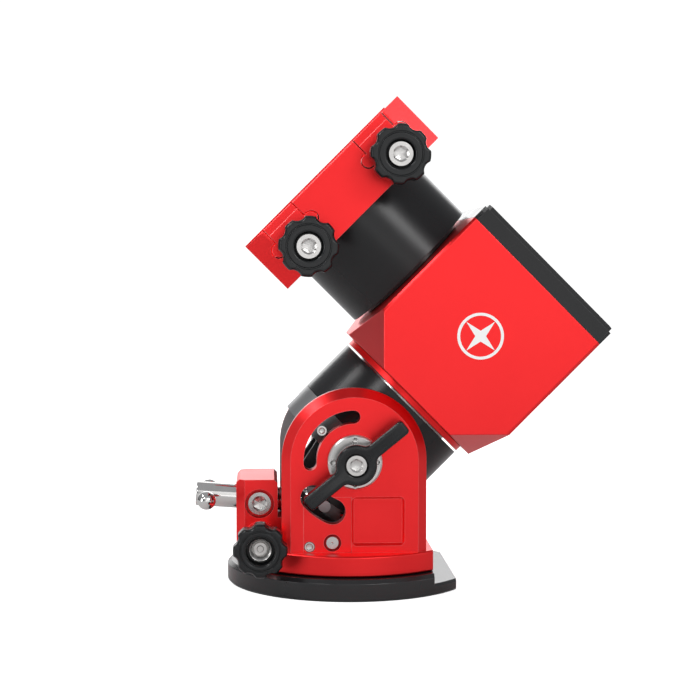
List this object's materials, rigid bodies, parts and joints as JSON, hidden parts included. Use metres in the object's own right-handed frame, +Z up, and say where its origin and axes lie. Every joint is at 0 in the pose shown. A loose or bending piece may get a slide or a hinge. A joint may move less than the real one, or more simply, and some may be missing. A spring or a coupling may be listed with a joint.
{
  "type": "equatorial telescope mount",
  "caption": "Compact strain-wave equatorial mount: black base plate, red cheeks with altitude and azimuth adjusters, red head box and a dovetail saddle with clamp knobs.",
  "frame": {"origin": "on the azimuth axis, at the base plate's underside, where it sits on a tripod or pier", "axes": "+Z up along the azimuth axis, +X to the pole side, where the right-ascension axis rises, +Y across the mount from the near cheek to the far one"},
  "size_m": [0.235, 0.148, 0.2822],
  "materials": {
    "red_anodised": "satin anodised",
    "black_anodised": "satin anodised",
    "knob_black": "satin anodised",
    "grey_anodised": "satin",
    "stainless": "turned",
    "polished_steel": "polished",
    "gear_steel": "ground",
    "bronze": "turned",
    "socket_plastic": "moulded",
    "socket_metal": "plated",
    "circuit": "solder mask",
    "motor_case": "satin",
    "emblem_white": "matt"
  },
  "bodies": {
    "base": {"base_plate": "black_anodised", "azimuth_washer": "bronze", "azimuth_cap": "stainless", "azimuth_lug": "stainless"},
    "azimuth_base": {"base_disc": "red_anodised", "cheek_near": "red_anodised", "cheek_far": "red_anodised", "adjuster_block": "red_anodised", "pivot_flanges": "stainless", "flange_screws": "stainless", "block_screws": "stainless", "cheek_screws": "stainless", "cheek_pins": "stainless", "friction_plates": "grey_anodised"},
    "altitude": {"ra_housing": "black_anodised", "ra_rear_cap": "grey_anodised", "tail_arms": "black_anodised", "trunnions": "stainless", "guide_screws": "stainless", "ra_circular_spline": "gear_steel"},
    "altitude_screw": {"altitude_rod": "polished_steel", "tommy_bar": "polished_steel"},
    "altitude_nut": {"altitude_nut": "gear_steel"},
    "thrust_pad_near": {"thrust_pad_near": "bronze"},
    "thrust_pad_far": {"thrust_pad_far": "bronze"},
    "azimuth_knob_near": {"azimuth_knob_near": "knob_black", "azimuth_screw_near": "stainless"},
    "azimuth_knob_far": {"azimuth_knob_far": "knob_black", "azimuth_screw_far": "stainless"},
    "lock_lever_near": {"lock_lever_near": "black_anodised", "lever_screw_near": "stainless"},
    "lock_lever_far": {"lock_lever_far": "black_anodised", "lever_screw_far": "stainless"},
    "ra_head": {"ra_flange": "red_anodised", "ra_neck_ring": "stainless", "head_casing": "red_anodised", "head_cover": "black_anodised", "cover_screws": "stainless", "power_inlet": "socket_plastic", "data_socket": "socket_metal", "handset_socket": "socket_plastic", "circuit_board": "circuit", "drive_motors": "motor_case", "dec_neck_ring": "black_anodised", "dec_circular_spline": "gear_steel", "counterweight_insert": "stainless", "emblem": "emblem_white"},
    "power_switch": {"power_switch": "socket_plastic"},
    "ra_wave_generator": {"ra_wave_generator": "gear_steel"},
    "dec_wave_generator": {"dec_wave_generator": "gear_steel"},
    "dec_head": {"dec_housing": "black_anodised", "saddle_base": "red_anodised", "fixed_jaw": "red_anodised", "saddle_screws": "stainless"},
    "clamp_a": {"clamp_block_a": "red_anodised"},
    "clamp_b": {"clamp_block_b": "red_anodised"},
    "clamp_knob_a": {"clamp_knob_a": "knob_black", "clamp_screw_a": "stainless"},
    "clamp_knob_b": {"clamp_knob_b": "knob_black", "clamp_screw_b": "stainless"}
  },
  "joints": [
    {"name": "azimuth", "type": "hinge", "parent": "base", "child": "azimuth_base", "pos_m": [0, 0, 0], "axis": [0, 0, 1], "range_deg": [-5, 5]},
    {"name": "azimuth_push_near", "type": "slide", "parent": "azimuth_base", "child": "thrust_pad_near", "axis": [0, 1, 0], "range_m": [-0.00467, 0.00467]},
    {"name": "azimuth_push_far", "type": "slide", "parent": "azimuth_base", "child": "thrust_pad_far", "axis": [0, 1, 0], "range_m": [-0.00467, 0.00467]},
    {"name": "azimuth_knob_near_turn", "type": "hinge", "parent": "thrust_pad_near", "child": "azimuth_knob_near", "pos_m": [-0.053, 0, 0.0283], "axis": [0, 1, 0], "range_deg": [-1681.69, 1681.69]},
    {"name": "azimuth_knob_far_turn", "type": "hinge", "parent": "thrust_pad_far", "child": "azimuth_knob_far", "pos_m": [-0.053, 0, 0.0283], "axis": [0, 1, 0], "range_deg": [-1681.69, 1681.69]},
    {"name": "altitude", "type": "hinge", "parent": "azimuth_base", "child": "altitude", "pos_m": [0, 0, 0.076], "axis": [0, -1, 0], "range_deg": [-43, 43]},
    {"name": "altitude_nut_slide", "type": "slide", "parent": "azimuth_base", "child": "altitude_nut", "axis": [0.9972, 0, -0.075], "range_m": [-0.01158, 0.01158]},
    {"name": "altitude_screw_turn", "type": "hinge", "parent": "azimuth_base", "child": "altitude_screw", "pos_m": [-0.0535, 0, 0.0481], "axis": [0.9972, 0, -0.075], "range_deg": [-2779.52, 2779.52]},
    {"name": "lock_near", "type": "hinge", "parent": "altitude", "child": "lock_lever_near", "pos_m": [0, 0, 0.076], "axis": [0, -1, 0], "range_deg": [-60, 25]},
    {"name": "lock_far", "type": "hinge", "parent": "altitude", "child": "lock_lever_far", "pos_m": [0, 0, 0.076], "axis": [0, -1, 0], "range_deg": [-60, 25]},
    {"name": "right_ascension", "type": "hinge", "parent": "altitude", "child": "ra_head", "pos_m": [0, 0, 0.076], "axis": [0.7071, 0, 0.7071], "range_deg": [-180, 180]},
    {"name": "ra_wave_turn", "type": "hinge", "parent": "ra_head", "child": "ra_wave_generator", "pos_m": [0, 0, 0.076], "axis": [0.7071, 0, 0.7071], "range_deg": [-18000, 18000]},
    {"name": "declination", "type": "hinge", "parent": "ra_head", "child": "dec_head", "pos_m": [0.07212, 0, 0.14813], "axis": [-0.7071, 0, 0.7071], "range_deg": [-180, 180]},
    {"name": "dec_wave_turn", "type": "hinge", "parent": "ra_head", "child": "dec_wave_generator", "pos_m": [0.07212, 0, 0.14813], "axis": [-0.7071, 0, 0.7071], "range_deg": [-18000, 18000]},
    {"name": "power_rocker", "type": "hinge", "parent": "ra_head", "child": "power_switch", "pos_m": [0.11908, -0.038, 0.16962], "axis": [-0.7071, 0, 0.7071], "range_deg": [-16, 0]},
    {"name": "clamp_slide_a", "type": "slide", "parent": "dec_head", "child": "clamp_a", "axis": [0, -1, 0], "range_m": [0, 0.005]},
    {"name": "clamp_slide_b", "type": "slide", "parent": "dec_head", "child": "clamp_b", "axis": [0, -1, 0], "range_m": [0, 0.005]},
    {"name": "clamp_knob_turn_a", "type": "hinge", "parent": "clamp_a", "child": "clamp_knob_a", "pos_m": [-0.02616, 0, 0.19621], "axis": [0, -1, 0], "range_deg": [0, 1454.4]},
    {"name": "clamp_knob_turn_b", "type": "hinge", "parent": "clamp_b", "child": "clamp_knob_b", "pos_m": [0.02404, 0, 0.24641], "axis": [0, -1, 0], "range_deg": [0, 1454.4]}
  ],
  "couplings": [
    {"joint": "azimuth_push_near", "follows": "azimuth", "m_per_rad": 0.053},
    {"joint": "azimuth_push_far", "follows": "azimuth", "m_per_rad": 0.053},
    {"joint": "azimuth_knob_near_turn", "follows": "azimuth", "ratio": 333.01},
    {"joint": "azimuth_knob_far_turn", "follows": "azimuth", "ratio": 333.01},
    {"joint": "altitude_nut_slide", "follows": "altitude", "m_per_rad": 0.015279},
    {"joint": "altitude_screw_turn", "follows": "altitude", "ratio": -64},
    {"joint": "ra_wave_turn", "follows": "right_ascension", "ratio": -100},
    {"joint": "dec_wave_turn", "follows": "declination", "ratio": -100},
    {"joint": "clamp_knob_turn_a", "follows": "clamp_slide_a", "rad_per_m": 5026.5},
    {"joint": "clamp_knob_turn_b", "follows": "clamp_slide_b", "rad_per_m": 5026.5}
  ]
}
